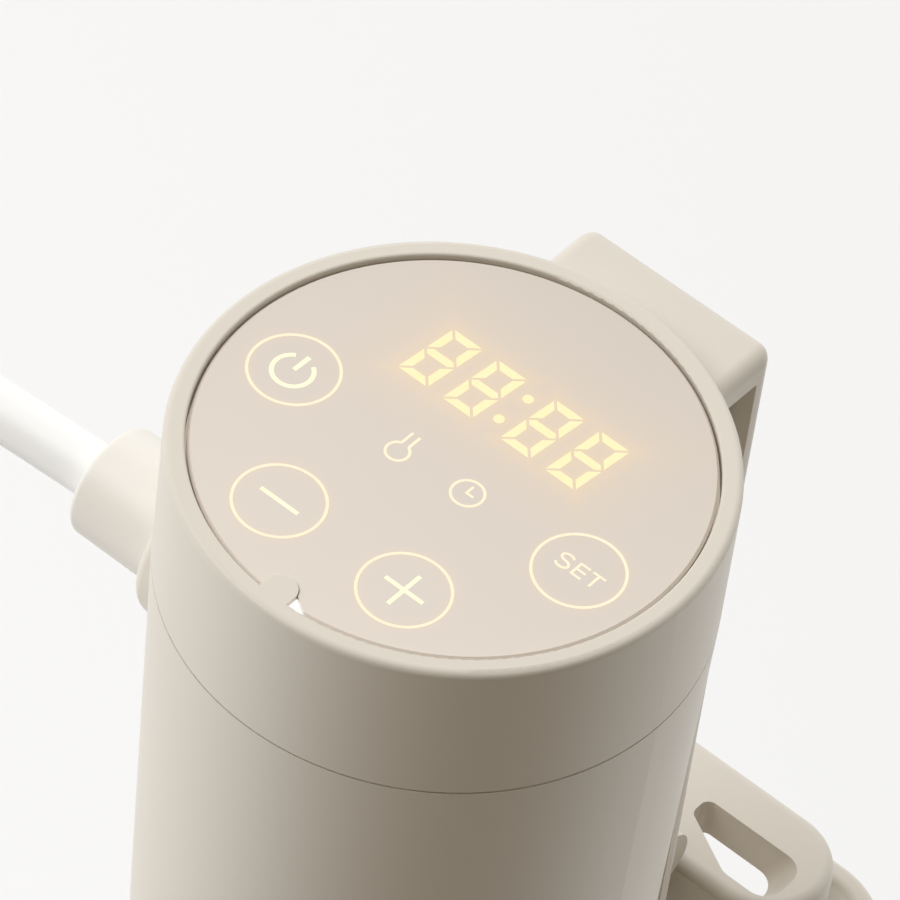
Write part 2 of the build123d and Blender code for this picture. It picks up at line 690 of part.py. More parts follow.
save(bulkhead, "bulkhead")

with BuildPart() as bulkhead_seal:
    with BuildSketch(Plane.XZ):
        ring_profile(bulkhead_r - 1.15, bulkhead_r + 0.06, SEAL_Z + 0.1, SEAL_Z + 2.1)
    revolve(axis=Axis.Z)
save(bulkhead_seal, "bulkhead_seal")

with BuildPart() as shaft_seal:
    with BuildSketch(Plane.XY.offset(BULKHEAD_TOP - 5)):
        Circle(SHAFT_SEAL_R)
        Circle(SHAFT_R + RUNNING, mode=Mode.SUBTRACT)
    extrude(amount=4.6)
save(shaft_seal, "shaft_seal")

# ---- wet side: heater, probe, shaft and impeller -------------------------------------
with BuildPart() as heater_hairpins:
    for turn in HAIRPIN_TURNS:
        leg_plane = Plane(
            origin=(HAIRPIN_R * cos(radians(turn)), HAIRPIN_R * sin(radians(turn)), 0),
            x_dir=(-sin(radians(turn)), cos(radians(turn)), 0),
            z_dir=(cos(radians(turn)), sin(radians(turn)), 0),
        )
        with BuildLine(leg_plane) as leg_path:
            Line((-HAIRPIN_HALF, HEATER_TOP), (-HAIRPIN_HALF, BEND_Z))
            RadiusArc((-HAIRPIN_HALF, BEND_Z), (HAIRPIN_HALF, BEND_Z), HAIRPIN_HALF)
            Line((HAIRPIN_HALF, BEND_Z), (HAIRPIN_HALF, HEATER_TOP))
        start = leg_path.line @ 0
        with BuildSketch(Plane(origin=start, z_dir=leg_path.line % 0)):
            Circle(ROD_R)
        sweep(path=leg_path.line)
save(heater_hairpins, "heater_hairpins")

with BuildPart() as temperature_probe:
    with BuildSketch(Plane.XY.offset(74)):
        with Locations(PROBE_AT):
            Circle(PROBE_R)
    extrude(amount=BULKHEAD_TOP + 8 - 74)
    fillet(temperature_probe.edges().group_by(Axis.Z)[0], PROBE_R - 0.2)
save(temperature_probe, "temperature_probe")

with BuildPart() as level_electrodes:
    for place, low in zip(ELECTRODES_AT, (104, 92)):
        with BuildSketch(Plane.XY.offset(low)):
            with Locations(place):
                Circle(ELECTRODE_R)
        extrude(amount=BULKHEAD_TOP + 6 - low)
save(level_electrodes, "level_electrodes")

with BuildPart() as standoffs:
    with BuildSketch(Plane.XY.offset(SPIDER_Z + 3.02)):
        with Locations(*[on_circle(STANDOFF_AT, turn + 60) for turn in HAIRPIN_TURNS]):
            RegularPolygon(2.6, 6)
    extrude(amount=NECK_Z - SPIDER_Z - 3.04)
save(standoffs, "standoffs")

with BuildPart() as bush_carrier:
    with BuildSketch(Plane.XY.offset(SPIDER_Z)):
        Circle(SPIDER_R)
        Circle(SPIDER_R - 3.4, mode=Mode.SUBTRACT)
        Circle(8)
        with PolarLocations(SPIDER_R / 2, 3, start_angle=60):
            Rectangle(SPIDER_R, 6)
        Circle(BUSH_R + 0.02, mode=Mode.SUBTRACT)
        with Locations(*[on_circle(STANDOFF_AT, turn + 60) for turn in HAIRPIN_TURNS]):
            Circle(SCREW_R + 0.02, mode=Mode.SUBTRACT)
    extrude(amount=3)
save(bush_carrier, "bush_carrier")

with BuildPart() as carrier_screws:
    with BuildSketch(Plane.XY.offset(SPIDER_Z)):
        with Locations(*[on_circle(STANDOFF_AT, turn + 60) for turn in HAIRPIN_TURNS]):
            Circle(SCREW_R)
    extrude(amount=3)
    with BuildSketch(Plane.XY.offset(SPIDER_Z)):
        with Locations(*[on_circle(STANDOFF_AT, turn + 60) for turn in HAIRPIN_TURNS]):
            Circle(SCREW_HEAD_R)
    extrude(amount=-1.5)
save(carrier_screws, "carrier_screws")

with BuildPart() as shaft_bush:
    with BuildSketch(Plane.XY.offset(SPIDER_Z - 2)):
        Circle(BUSH_R)
        Circle(SHAFT_R + RUNNING, mode=Mode.SUBTRACT)
    extrude(amount=7)
save(shaft_bush, "shaft_bush")

with BuildPart() as shaft_coupling:
    with BuildSketch(Plane.XY.offset(COUPLING_Z[0])):
        Circle(5.2)
    extrude(amount=COUPLING_Z[1] - COUPLING_Z[0])
    chamfer(shaft_coupling.edges().filter_by(GeomType.CIRCLE), 0.6)
    with BuildSketch(Plane.XY.offset(COUPLING_Z[0])):
        Circle(SHAFT_R + 0.01)
    extrude(amount=COUPLING_Z[1] - COUPLING_Z[0] - 8, mode=Mode.SUBTRACT)
    with BuildSketch(Plane.XY.offset(COUPLING_Z[1])):
        Circle(MOTOR_SHAFT_R + 0.01)
    extrude(amount=-8, mode=Mode.SUBTRACT)
save(shaft_coupling, "shaft_coupling")

with BuildPart() as drive_shaft:
    with BuildSketch(Plane.XY.offset(IMPELLER_Z - 5)):
        Circle(SHAFT_R)
    extrude(amount=COUPLING_Z[1] - 8.1 - IMPELLER_Z + 5)
save(drive_shaft, "drive_shaft")

with BuildPart() as impeller:
    with BuildSketch(Plane.XY.offset(IMPELLER_Z)):
        Circle(HUB_R)
        with PolarLocations(0, BLADES):
            with Locations((HUB_R + 5.2, 1.6)):
                Rectangle(11.2, 1.3, rotation=14)
    extrude(amount=8)
    with BuildSketch(Plane.XY.offset(IMPELLER_Z + 8)):
        Circle(IMPELLER_R)
    extrude(amount=1.2)
    with BuildSketch(Plane.XY.offset(IMPELLER_Z)):
        Circle(SHAFT_R + 0.01)
    extrude(amount=12, mode=Mode.SUBTRACT)
save(impeller, "impeller")

with BuildPart() as impeller_nut:
    with BuildSketch(Plane.XY.offset(IMPELLER_Z - 3.3)):
        RegularPolygon(3.6, 6)
        Circle(SHAFT_R + 0.01, mode=Mode.SUBTRACT)
    extrude(amount=3.2)
save(impeller_nut, "impeller_nut")

# ---- twist-off skirt ----------------------------------------------------------------
def sector(start, end):
    """Triangle from the axis that covers the angles from start to end, in degrees."""
    far = 40.0
    Polyline((0, 0), *[
        (far * cos(radians(a)), far * sin(radians(a))) for a in (start, end)
    ], (0, 0))


sleeve_in = SLEEVE_R - SLEEVE_T
with BuildPart() as sleeve:
    with BuildSketch(Plane.XY.offset(SLEEVE_Z[0])):
        Circle(SLEEVE_R)
        Circle(sleeve_in, mode=Mode.SUBTRACT)
    extrude(amount=SLEEVE_Z[1] - SLEEVE_Z[0])
    for z, height, count in ((36, 36, 16), (80, 20, 8)):
        with BuildSketch(Plane.XY.offset(z - height / 2)):
            with PolarLocations(SLEEVE_R, count, start_angle=180 / count):
                Rectangle(8, SLOT_W)
        extrude(amount=height, mode=Mode.SUBTRACT)
    half_pin = degrees((BAYONET_R + 0.35) / NECK_R)
    low = BAYONET_Z - BAYONET_R - 0.3
    for turn in (0, 120, 240):
        with BuildSketch(Plane.XY.offset(low)):
            with BuildLine():
                sector(turn - TWIST - half_pin, turn + half_pin)
            make_face()
        extrude(amount=2 * (BAYONET_R + 0.3), mode=Mode.SUBTRACT)
        with BuildSketch(Plane.XY.offset(low)):
            with BuildLine():
                sector(turn - TWIST - half_pin, turn - TWIST + half_pin)
            make_face()
        extrude(amount=10, mode=Mode.SUBTRACT)
save(sleeve, "sleeve")

with BuildPart() as foot:
    with BuildSketch(Plane.XZ):
        with BuildLine():
            Polyline(
                (0, 0),
                (6.5, 0),
                (6.5, 1.2),
                (20.5, 1.2),
                (20.5, 0),
                (FOOT_R, 0),
                (FOOT_R, 13.5),
                (SLEEVE_R + 0.02, 13.5),
                (SLEEVE_R + 0.02, SLEEVE_Z[0] - 0.02),
                (0, SLEEVE_Z[0] - 0.02),
                (0, 0),
            )
        make_face()
    revolve(axis=Axis.Z)
    rim = foot.edges().filter_by(GeomType.CIRCLE)
    outer = rim.filter_by(lambda edge: abs(edge.radius - FOOT_R) < 0.01)
    fillet(outer.sort_by(Axis.Z)[0], 1.6)
    with BuildSketch(Plane.XY):
        with PolarLocations(13.4, 12):
            Rectangle(11.5, SLOT_W)
    extrude(amount=8, mode=Mode.SUBTRACT)
save(foot, "foot")

# ---- mains lead ---------------------------------------------------------------------
def bend_radii(points):
    """Largest tangent arc at each corner: 0.45 of the shorter run, over tan(turn / 2)."""
    radii = []
    for before, corner, after in zip(points, points[1:], points[2:]):
        run_in, run_out = corner - before, after - corner
        half_turn = radians(run_in.get_angle(run_out)) / 2
        radii.append(0.45 * min(run_in.length, run_out.length) / tan(half_turn))
    return radii


# Straight out of the boss, over and down, then round onto the floor and into the coil.
lead_route = [
    Vector(*point)
    for point in (
        (BOSS_X + 6.0, 0.0, BOSS_Z),
        (-76.0, -0.5, 267.4),
        (-108.0, -4.0, 262.0),
        (-131.0, -12.0, 241.0),
        (-144.0, -21.0, 210.0),
        (-149.0, -29.0, 175.0),
        (-150.0, -34.0, 138.0),
        (-149.6, -36.8, 101.0),
        (-148.6, -38.2, 69.0),
        (-148.0, -37.2, 41.0),
        (-147.6, -30.6, 23.5),
        (-147.3, -18.5, 10.6),
        (-147.1, -2.4, 3.65),
        (-146.9, 15.0, CORD_D / 2),
    )
]
# Off the top of the coil and down to the plug.
tail_route = [
    Vector(*point)
    for point in (
        (-108.0, 57.7, 1.5 * CORD_D),
        (-90.0, 58.2, 1.5 * CORD_D - 0.2),
        (-74.0, 60.0, PLUG_Z + 0.4),
        (PLUG_X + 4.0, 60.6, PLUG_Z),
    )
]
for name, route in (("cord", lead_route), ("cord_tail", tail_route)):
    radii = bend_radii(route)
    with BuildPart() as lead:
        with BuildLine() as path:
            FilletPolyline(*route, radius=radii)
        with BuildSketch(Plane(origin=path.line @ 0, z_dir=path.line % 0)):
            Circle(CORD_D / 2)
        sweep(path=path.line)
    length = path.wires()[0].length
    section = pi * CORD_D**2 / 4
    print(name, "length", round(length, 1), "radii", [round(r, 1) for r in radii])
    print(name, "volume over section x length", lead.part.volume / (section * length))
    save(lead, name)

coil_half = 1.0 * CORD_D  # two turns wide and two turns high
with BuildPart() as cord_coil:
    with BuildSketch(Plane.XY):
        with Locations(COIL_AT):
            Circle(COIL_MID_R + coil_half)
            Circle(COIL_MID_R - coil_half, mode=Mode.SUBTRACT)
    extrude(amount=2 * CORD_D)
    fillet(cord_coil.edges().filter_by(GeomType.CIRCLE), CORD_D / 2 - 0.1)
save(cord_coil, "cord_coil")
print("cord in the coil", round(2 * pi * COIL_MID_R * COIL_TURNS, 1))

with BuildPart() as plug_body:
    with BuildSketch(Plane.YZ.offset(PLUG_X + NECK_LONG)):
        with Locations((PLUG_Y, PLUG_Z)):
            RectangleRounded(PLUG_W, PLUG_H, 4.5)
    extrude(amount=PLUG_LONG)
    fillet(plug_body.faces().sort_by(Axis.X)[-1].edges(), 1.0)
    with BuildSketch(Plane.YZ.offset(PLUG_X)):
        with Locations((PLUG_Y, PLUG_Z)):
            Circle(CORD_D / 2 + 0.9)
    with BuildSketch(Plane.YZ.offset(PLUG_X + NECK_LONG)):
        with Locations((PLUG_Y, PLUG_Z)):
            Circle(CORD_D / 2 + 2.4)
    loft()
    with BuildSketch(Plane.YZ.offset(PLUG_X)):
        with Locations((PLUG_Y, PLUG_Z)):
            Circle(CORD_D / 2)
    extrude(amount=12, mode=Mode.SUBTRACT)
save(plug_body, "plug_body")

with BuildPart() as plug_blades:
    with BuildSketch(Plane.YZ.offset(PLUG_X + NECK_LONG + PLUG_LONG)):
        with Locations((PLUG_Y - BLADE_PITCH / 2, PLUG_Z), (PLUG_Y + BLADE_PITCH / 2, PLUG_Z)):
            Rectangle(BLADE_T, BLADE_W)
    extrude(amount=BLADE_LONG)
    tips = plug_blades.faces().sort_by(Axis.X)[-2:]
    chamfer(tips.edges().filter_by(Axis.Z), 0.4)
save(plug_blades, "plug_blades")
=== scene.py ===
"""Sous vide circulator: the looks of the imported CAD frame, in metres, row frame."""

import json
from math import cos, hypot, pi, radians, sin

import bmesh
import bpy
from mathutils import Matrix, Vector


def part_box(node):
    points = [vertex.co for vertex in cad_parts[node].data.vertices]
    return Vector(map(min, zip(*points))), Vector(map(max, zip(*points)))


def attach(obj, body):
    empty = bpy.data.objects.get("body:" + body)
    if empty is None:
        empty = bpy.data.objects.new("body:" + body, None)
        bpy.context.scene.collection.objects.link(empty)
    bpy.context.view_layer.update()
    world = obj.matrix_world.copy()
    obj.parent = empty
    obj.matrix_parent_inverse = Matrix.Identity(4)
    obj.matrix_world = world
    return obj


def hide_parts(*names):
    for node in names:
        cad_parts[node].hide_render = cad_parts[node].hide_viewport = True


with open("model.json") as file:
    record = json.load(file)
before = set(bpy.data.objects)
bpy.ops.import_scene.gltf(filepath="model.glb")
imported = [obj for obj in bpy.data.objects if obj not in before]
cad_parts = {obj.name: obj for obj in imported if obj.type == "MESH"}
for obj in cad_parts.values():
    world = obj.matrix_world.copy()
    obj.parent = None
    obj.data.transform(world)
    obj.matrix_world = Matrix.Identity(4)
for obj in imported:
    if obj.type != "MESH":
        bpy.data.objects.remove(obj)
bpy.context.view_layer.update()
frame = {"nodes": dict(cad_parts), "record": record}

MM = 0.001

# ---- places taken from the frame -----------------------------------------------------
RIM_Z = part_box("head_ring")[1][2]
HEAD_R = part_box("head_ring")[1][0]
GLASS_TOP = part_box("touch_glass")[1][2]
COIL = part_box("cord_coil")
COIL_AT = Vector(((COIL[0][0] + COIL[1][0]) / 2, (COIL[0][1] + COIL[1][1]) / 2, 0.0))


# ---- camera --------------------------------------------------------------------------
def make_camera():
    """A long lens above the panel, at the reference view's angle."""
    azimuth, elevation, roll = radians(34.55), radians(47.87), radians(8.07)
    distance = 24.38 * HEAD_R
    slide = Vector((-0.48, 0.12, 0.0)) * MM  # sideways and up, in the picture's plane
    data = bpy.data.cameras.new("camera")
    data.sensor_width = 36.0
    data.lens = 285.2
    data.clip_start, data.clip_end = 0.05, 20.0
    camera = bpy.data.objects.new("camera", data)
    away = Vector((sin(azimuth) * cos(elevation), -cos(azimuth) * cos(elevation), sin(elevation)))
    turn = away.to_track_quat("Z", "Y").to_matrix().to_4x4()
    place = Matrix.Translation(Vector((0, 0, RIM_Z)) + away * distance)
    camera.matrix_world = place @ turn @ Matrix.Rotation(roll, 4, "Z") @ Matrix.Translation(slide)
    bpy.context.collection.objects.link(camera)
    bpy.context.scene.camera = camera
    return camera


make_camera()

# ---- mains lead ----------------------------------------------------------------------
CORD_D = 6.9 * MM
LEAD_ROUTE = [
    (-40.3, 0.0, 268.3),
    (-76.0, -0.5, 267.4),
    (-108.0, -4.0, 262.0),
    (-131.0, -12.0, 241.0),
    (-144.0, -21.0, 210.0),
    (-149.0, -29.0, 175.0),
    (-150.0, -34.0, 138.0),
    (-149.6, -36.8, 101.0),
    (-148.6, -38.2, 69.0),
    (-148.0, -37.2, 41.0),
    (-147.6, -30.6, 23.5),
    (-147.3, -18.5, 10.6),
    (-147.1, -2.4, 3.65),
]
TAIL_ROUTE = [
    (-90.0, 58.2, 10.15),
    (-74.0, 60.0, 8.9),
    (-60.0, 60.6, 8.5),
]
COIL_TURNS = 4.25
COIL_STEPS = 16  # spline points in each turn
CROSSING = 0.3  # part of a turn that a change of radius or height takes
INNER_R, OUTER_R = 36.0, 42.9  # middle of the inner and the outer turns, millimetres
LOW_Z, HIGH_Z = 3.45, 10.35


def ease(t):
    """0 to 1 with flat ends."""
    t = min(max(t, 0.0), 1.0)
    return t * t * (3 - 2 * t)


def coil_points():
    """Two turns low and two high: outer, inner, then inner and outer again."""
    points = []
    for step in range(round(COIL_TURNS * COIL_STEPS) + 1):
        turn = step / COIL_STEPS
        inwards = ease((turn - 0.85) / CROSSING) - ease((turn - 2.85) / CROSSING)
        radius = OUTER_R - (OUTER_R - INNER_R) * inwards
        z = LOW_Z + (HIGH_Z - LOW_Z) * ease((turn - 1.85) / CROSSING)
        angle = pi - 2 * pi * turn
        x = COIL_AT.x / MM + radius * cos(angle)
        y = COIL_AT.y / MM + radius * sin(angle)
        points.append((x, y, z))
    return points


def make_cord():
    """The whole lead on one NURBS spline: drop, coil and tail."""
    data = bpy.data.curves.new("mains_lead", "CURVE")
    data.dimensions = "3D"
    data.resolution_u = 8
    data.bevel_depth = 1.0  # times each point's radius
    data.bevel_resolution = 8
    data.use_fill_caps = True
    route = LEAD_ROUTE + coil_points() + TAIL_ROUTE
    spline = data.splines.new("NURBS")
    spline.points.add(len(route) - 1)
    for point, place in zip(spline.points, route):
        point.co = (place[0] * MM, place[1] * MM, place[2] * MM, 1)
        point.radius = CORD_D / 2
    spline.order_u = 3
    spline.use_endpoint_u = True
    cord = bpy.data.objects.new("mains_lead", data)
    bpy.context.collection.objects.link(cord)
    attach(cord, "housing")
    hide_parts("cord", "cord_coil", "cord_tail")
    return cord


cord = make_cord()


# ---- materials -----------------------------------------------------------------------
class Nodes:
    """Short names for building one material's node tree."""

    def __init__(self, name):
        self.material = bpy.data.materials.new(name)
        self.material.use_nodes = True
        self.tree = self.material.node_tree
        self.shader = self.tree.nodes["Principled BSDF"]
        self.coords = self.tree.nodes.new("ShaderNodeTexCoord").outputs["Object"]

    def add(self, kind, **values):
        node = self.tree.nodes.new(kind)
        for key, value in values.items():
            setattr(node, key, value)
        return node

    def link(self, out, into):
        self.tree.links.new(out, into)

    def set(self, **values):
        """Constants on the shader's own sockets; spaces in names are written _."""
        for key, value in values.items():
            self.shader.inputs[key.replace("_", " ")].default_value = value

    def scaled(self, scale):
        mapping = self.add("ShaderNodeMapping")
        mapping.inputs["Scale"].default_value = scale
        self.link(self.coords, mapping.inputs["Vector"])
        return mapping.outputs["Vector"]

    def noise(self, scale, detail=3.0, roughness=0.5, stretch=(1, 1, 1)):
        node = self.add("ShaderNodeTexNoise")
        node.inputs["Scale"].default_value = scale
        node.inputs["Detail"].default_value = detail
        node.inputs["Roughness"].default_value = roughness
        self.link(self.scaled(stretch), node.inputs["Vector"])
        return node.outputs["Fac"]

    def ramp(self, value, stops):
        node = self.add("ShaderNodeValToRGB")
        elements = node.color_ramp.elements
        while len(elements) < len(stops):
            elements.new(0.5)
        for element, (at, colour) in zip(elements, stops):
            element.position = at
            element.color = (*colour, 1) if len(colour) == 3 else colour
        self.link(value, node.inputs["Fac"])
        return node.outputs["Color"]

    def span(self, value, low, high):
        node = self.add("ShaderNodeMapRange")
        node.inputs["To Min"].default_value = low
        node.inputs["To Max"].default_value = high
        self.link(value, node.inputs["Value"])
        return node.outputs["Result"]

    def math(self, operation, a, b=None, clamp=False):
        node = self.add("ShaderNodeMath", operation=operation, use_clamp=clamp)
        for socket, value in zip(node.inputs, (a, b)):
            if value is None:
                continue
            if isinstance(value, (int, float)):
                socket.default_value = value
            else:
                self.link(value, socket)
        return node.outputs["Value"]

    def bump(self, height, strength, distance):
        node = self.add("ShaderNodeBump")
        node.inputs["Strength"].default_value = strength
        node.inputs["Distance"].default_value = distance
        self.link(height, node.inputs["Height"])
        self.link(node.outputs["Normal"], self.shader.inputs["Normal"])


def moulded(name, dark, light, rough=(0.34, 0.46), grain=2600.0, bump=0.06):
    """Satin moulded plastic: a fine spark-eroded grain and a faint drift of tone."""
    n = Nodes(name)
    drift = n.noise(18.0, detail=4.0)
    n.link(n.ramp(drift, [(0.3, dark), (0.7, light)]), n.shader.inputs["Base Color"])
    fine = n.noise(grain, detail=2.0)
    n.link(n.span(fine, *rough), n.shader.inputs["Roughness"])
    n.bump(fine, bump, 0.00004)
    n.set(Specular_IOR_Level=0.42)
    return n.material


def brushed(name, dark, light, stretch, rough=(0.22, 0.38)):
    """Metal with fine lines along one direction."""
    n = Nodes(name)
    lines = n.noise(900.0, detail=5.0, stretch=stretch)
    n.link(n.ramp(lines, [(0.25, dark), (0.75, light)]), n.shader.inputs["Base Color"])
    n.link(n.span(lines, *rough), n.shader.inputs["Roughness"])
    n.bump(lines, 0.12, 0.00003)
    n.set(Metallic=1.0)
    return n.material


def rubber(name, dark, light, rough=0.75):
    n = Nodes(name)
    spots = n.noise(400.0, detail=6.0)
    n.link(n.ramp(spots, [(0.3, dark), (0.7, light)]), n.shader.inputs["Base Color"])
    n.link(n.span(spots, rough - 0.1, rough + 0.1), n.shader.inputs["Roughness"])
    n.bump(spots, 0.2, 0.00005)
    return n.material


SHELL_DARK, SHELL_LIGHT = (0.700, 0.650, 0.568), (0.716, 0.666, 0.584)
materials = {
    "shell": moulded("satin_beige", SHELL_DARK, SHELL_LIGHT),
    "display": moulded("display_case", (0.80, 0.78, 0.70), (0.86, 0.83, 0.74)),
    "board": moulded(
        "solder_mask", (0.012, 0.10, 0.035), (0.02, 0.15, 0.05), rough=(0.25, 0.35), grain=700
    ),
    "dark_plastic": moulded("black_moulding", (0.012, 0.012, 0.013), (0.02, 0.02, 0.021)),
    "inner_plastic": moulded("natural_moulding", (0.66, 0.66, 0.63), (0.72, 0.72, 0.69)),
    "rubber": rubber("dark_rubber", (0.035, 0.028, 0.022), (0.05, 0.042, 0.034)),
    "pale_rubber": rubber("pale_rubber", (0.30, 0.265, 0.22), (0.36, 0.32, 0.27)),
    "steel": brushed("brushed_steel", (0.50, 0.49, 0.47), (0.66, 0.65, 0.63), (1, 1, 0.02)),
    "spring_steel": brushed("spring_wire", (0.42, 0.42, 0.42), (0.6, 0.6, 0.6), (1, 1, 1)),
    "zinc": brushed("zinc_plate", (0.45, 0.46, 0.48), (0.62, 0.63, 0.65), (1, 1, 1)),
    "copper_core": brushed("wound_copper", (0.32, 0.12, 0.05), (0.55, 0.24, 0.11), (0.05, 1, 1)),
    "aluminium": brushed(
        "extruded_aluminium", (0.55, 0.56, 0.57), (0.70, 0.71, 0.72), (1, 1, 0.05)
    ),
    "brass": brushed("brass_blades", (0.60, 0.44, 0.18), (0.74, 0.57, 0.27), (0.05, 1, 1)),
    "cord_white": moulded(
        "white_vinyl", (0.92, 0.92, 0.91), (0.95, 0.95, 0.94), rough=(0.36, 0.46), grain=900
    ),
}

# ---- the panel's layout, millimetres ---------------------------------------------------
DISPLAY = (0.35, 9.4)  # middle of the four digits
DIGIT_PAIR, DIGIT_STEP = 7.19, 3.14  # digits stand at +-PAIR +-STEP from the middle
DIGIT_HALF = (2.1, 4.22)
BAR_W = 1.0
BAR_GAP = 0.16
SLANT = 0.085
COLON_Y = 2.2
COLON_R = 0.62
KEY_R = 5.08  # circle round each touch key
KEY_RING = 20.2
KEY_ANGLES = (188.9, 244.5, 295.5, 351.1)
KEYS = [(KEY_RING * cos(radians(a)), KEY_RING * sin(radians(a))) for a in KEY_ANGLES]
THERMOMETER = (-4.47, -4.05)
CLOCK = (4.66, -3.25)
GLOW_LEFT = 0.36  # part of the glow that is left one reach further out
DIGIT_REACH, RING_REACH = 2.3, 0.5
DIGIT_CORE = 0.3  # full glow up to here from a bar's middle line
RING_GLOW = 0.45  # glow of a key circle, beside 1 for the digits


def panel_glow(n):
    """0 to 1: light that spreads in the cover round the lit digits and key circles."""
    split = n.add("ShaderNodeSeparateXYZ")
    n.link(n.coords, split.inputs["Vector"])
    x = n.math("DIVIDE", split.outputs["X"], MM)
    y = n.math("DIVIDE", split.outputs["Y"], MM)
    # digits: the slant taken out, then folded onto one quarter of one digit
    up = n.math("SUBTRACT", y, DISPLAY[1])
    across = n.math("SUBTRACT", n.math("SUBTRACT", x, DISPLAY[0]), n.math("MULTIPLY", up, SLANT))
    across = n.math("ABSOLUTE", across)
    colon_x = across
    up = n.math("ABSOLUTE", up)
    across = n.math("ABSOLUTE", n.math("SUBTRACT", across, DIGIT_PAIR))
    across = n.math("ABSOLUTE", n.math("SUBTRACT", across, DIGIT_STEP))
    wide, tall = DIGIT_HALF[0] - BAR_W / 2, DIGIT_HALF[1] - BAR_W / 2
    upright = n.math(
        "MAXIMUM",
        n.math("ABSOLUTE", n.math("SUBTRACT", across, wide)),
        n.math("SUBTRACT", up, tall),
    )
    level = n.math(
        "MAXIMUM",
        n.math("MINIMUM", up, n.math("ABSOLUTE", n.math("SUBTRACT", up, tall))),
        n.math("SUBTRACT", across, wide),
    )
    dot = n.math("MAXIMUM", colon_x, n.math("ABSOLUTE", n.math("SUBTRACT", up, COLON_Y)))
    near = n.math("MINIMUM", n.math("MINIMUM", upright, level), dot)
    past = n.math("MAXIMUM", n.math("SUBTRACT", near, DIGIT_CORE), 0)
    digits = n.math("POWER", GLOW_LEFT, n.math("DIVIDE", past, DIGIT_REACH))
    # key circles, folded about the panel's middle line
    rings = None
    for key_x, key_y in KEYS[2:]:
        dx = n.math("SUBTRACT", n.math("ABSOLUTE", x), key_x)
        dy = n.math("SUBTRACT", y, key_y)
        r = n.math("SQRT", n.math("ADD", n.math("MULTIPLY", dx, dx), n.math("MULTIPLY", dy, dy)))
        away = n.math("ABSOLUTE", n.math("SUBTRACT", r, KEY_R))
        rings = away if rings is None else n.math("MINIMUM", rings, away)
    rings = n.math("POWER", GLOW_LEFT, n.math("DIVIDE", rings, RING_REACH))
    rings = n.math("MULTIPLY", rings, RING_GLOW)
    return n.math("MAXIMUM", digits, rings, clamp=True)


def glass_material():
    """Back-printed cover: pink-beige with painted sheen, lighter to the front and darker to the back,
    and a painted amber glow round the lit signs.
    """
    n = Nodes("printed_cover")
    uneven = 0.25  # how much of the gradient is random drift; the rest is painted sheen
    drift = n.math("MULTIPLY", n.noise(30.0, detail=3.0), uneven)
    split = n.add("ShaderNodeSeparateXYZ")
    n.link(n.coords, split.inputs["Vector"])
    # painted sheen: the cover's colour is lighter towards the front and darker towards the back
    front_to_back = n.math("DIVIDE", split.outputs["Y"], 2 * HEAD_R)
    painted_sheen = n.math("ADD", front_to_back, (1 - uneven) / 2)
    sheen_and_drift = n.math("ADD", painted_sheen, drift, clamp=True)
    print_with_sheen = n.ramp(sheen_and_drift, [(0.0, (0.730, 0.652, 0.576)), (1.0, (0.640, 0.566, 0.490))])
    # painted glow: amber mixed into the cover's colour round the lit signs stands in for their light
    # spreading in the cover
    painted_glow_mix = n.add("ShaderNodeMix", data_type="RGBA")
    n.link(n.math("MULTIPLY", panel_glow(n), 0.46), painted_glow_mix.inputs["Factor"])
    n.link(print_with_sheen, painted_glow_mix.inputs[6])
    painted_glow_mix.inputs[7].default_value = (0.96, 0.70, 0.40, 1)
    n.link(painted_glow_mix.outputs[2], n.shader.inputs["Base Color"])
    ripple = n.noise(260.0, detail=2.0)
    n.link(n.span(ripple, 0.27, 0.33), n.shader.inputs["Roughness"])
    n.set(Specular_IOR_Level=0.5, Coat_Weight=0.5, Coat_Roughness=0.10)
    return n.material


def lit(name, dim, bright, strength, noise_scale=900.0):
    """A sign with a lamp behind it."""
    n = Nodes(name)
    spots = n.noise(noise_scale, detail=2.0)
    colour = n.ramp(spots, [(0.3, dim), (0.7, bright)])
    n.link(colour, n.shader.inputs["Emission Color"])
    n.link(n.span(spots, 0.42, 0.5), n.shader.inputs["Roughness"])
    n.set(Base_Color=(0.05, 0.045, 0.03, 1), Emission_Strength=strength)
    return n.material


materials["glass_panel"] = glass_material()
materials["diffuser"] = lit("lit_diffuser", (0.95, 0.94, 0.92), (1.0, 0.99, 0.97), 1.0)

# painted light: the cord's boss and its flange get lighter copies of the shell colour for the stronger
# light they catch; the boss is also taken as a whiter, more neutral plastic
paler_painted_light = {
    "cord_boss": moulded("boss_whiter_painted_light", (0.845, 0.815, 0.755), (0.865, 0.835, 0.775)),
    "boss_flange": moulded("flange_painted_light", (0.775, 0.730, 0.645), (0.795, 0.750, 0.665)),
}
slot_of = {part["node"]: part["material_slot"] for part in frame["record"]["subparts"]}
for node, piece in frame["nodes"].items():
    piece.data.materials.clear()
    piece.data.materials.append(paler_painted_light.get(node, materials[slot_of[node]]))
cord.data.materials.append(materials["cord_white"])


# ---- lit signs ------------------------------------------------------------------------
SIGN_Z = (GLASS_TOP - 0.03 * MM, GLASS_TOP + 0.02 * MM)


def prism(mesh, outline):
    """Closed thin plate from a convex outline in millimetres."""
    rings = [[mesh.verts.new((x * MM, y * MM, z)) for x, y in outline] for z in SIGN_Z]
    mesh.faces.new(rings[0][::-1])
    mesh.faces.new(rings[1])
    for i in range(len(outline)):
        j = (i + 1) % len(outline)
        mesh.faces.new((rings[0][i], rings[0][j], rings[1][j], rings[1][i]))


